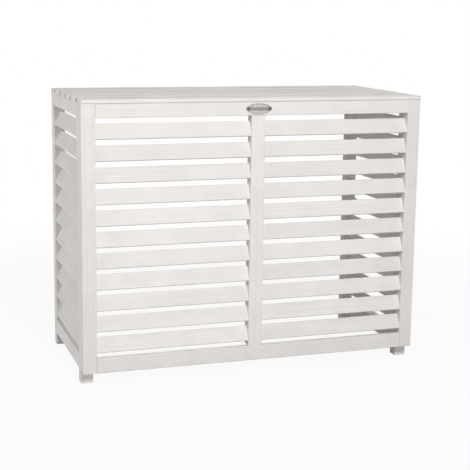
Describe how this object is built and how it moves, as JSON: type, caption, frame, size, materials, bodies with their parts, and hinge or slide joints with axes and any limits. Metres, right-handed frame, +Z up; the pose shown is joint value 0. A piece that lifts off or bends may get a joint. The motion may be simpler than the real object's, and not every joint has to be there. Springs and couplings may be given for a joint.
{
  "type": "air conditioner screen",
  "caption": "Louvred timber cabinet with a slatted lid, an open back and four feet, standing over an outdoor air conditioner to hide it while air passes.",
  "frame": {"origin": "on the ground, under the middle of the cabinet's box", "axes": "+X along the front to the right as seen from the front, +Y from the louvred front to the open back, +Z up"},
  "size_m": [1.1, 0.516, 0.8718],
  "materials": {
    "painted_frame": "satin white paint over brushed softwood",
    "painted_louvre": "satin white paint over brushed softwood",
    "painted_lid": "satin white paint over brushed softwood, a little dulled by weather",
    "plate_metal": "satin, brushed along its length"
  },
  "bodies": {
    "root": {"front_left_stile": "painted_frame", "front_mullion": "painted_frame", "front_right_stile": "painted_frame", "front_top_rail": "painted_frame", "front_bottom_rail": "painted_frame", "left_front_post": "painted_frame", "left_back_post": "painted_frame", "left_top_rail": "painted_frame", "left_bottom_rail": "painted_frame", "right_front_post": "painted_frame", "right_back_post": "painted_frame", "right_top_rail": "painted_frame", "right_bottom_rail": "painted_frame", "back_rail": "painted_frame", "lid": "painted_lid", "oval_plate": "plate_metal", "front_left_louvre_01": "painted_louvre", "front_left_louvre_02": "painted_louvre", "front_left_louvre_03": "painted_louvre", "front_left_louvre_04": "painted_louvre", "front_left_louvre_05": "painted_louvre", "front_left_louvre_06": "painted_louvre", "front_left_louvre_07": "painted_louvre", "front_left_louvre_08": "painted_louvre", "front_left_louvre_09": "painted_louvre", "front_left_louvre_10": "painted_louvre", "front_left_louvre_11": "painted_louvre", "front_right_louvre_01": "painted_louvre", "front_right_louvre_02": "painted_louvre", "front_right_louvre_03": "painted_louvre", "front_right_louvre_04": "painted_louvre", "front_right_louvre_05": "painted_louvre", "front_right_louvre_06": "painted_louvre", "front_right_louvre_07": "painted_louvre", "front_right_louvre_08": "painted_louvre", "front_right_louvre_09": "painted_louvre", "front_right_louvre_10": "painted_louvre", "front_right_louvre_11": "painted_louvre", "left_louvre_01": "painted_louvre", "left_louvre_02": "painted_louvre", "left_louvre_03": "painted_louvre", "left_louvre_04": "painted_louvre", "left_louvre_05": "painted_louvre", "left_louvre_06": "painted_louvre", "left_louvre_07": "painted_louvre", "left_louvre_08": "painted_louvre", "left_louvre_09": "painted_louvre", "left_louvre_10": "painted_louvre", "left_louvre_11": "painted_louvre", "right_louvre_01": "painted_louvre", "right_louvre_02": "painted_louvre", "right_louvre_03": "painted_louvre", "right_louvre_04": "painted_louvre", "right_louvre_05": "painted_louvre", "right_louvre_06": "painted_louvre", "right_louvre_07": "painted_louvre", "right_louvre_08": "painted_louvre", "right_louvre_09": "painted_louvre", "right_louvre_10": "painted_louvre", "right_louvre_11": "painted_louvre"}
  },
  "joints": []
}
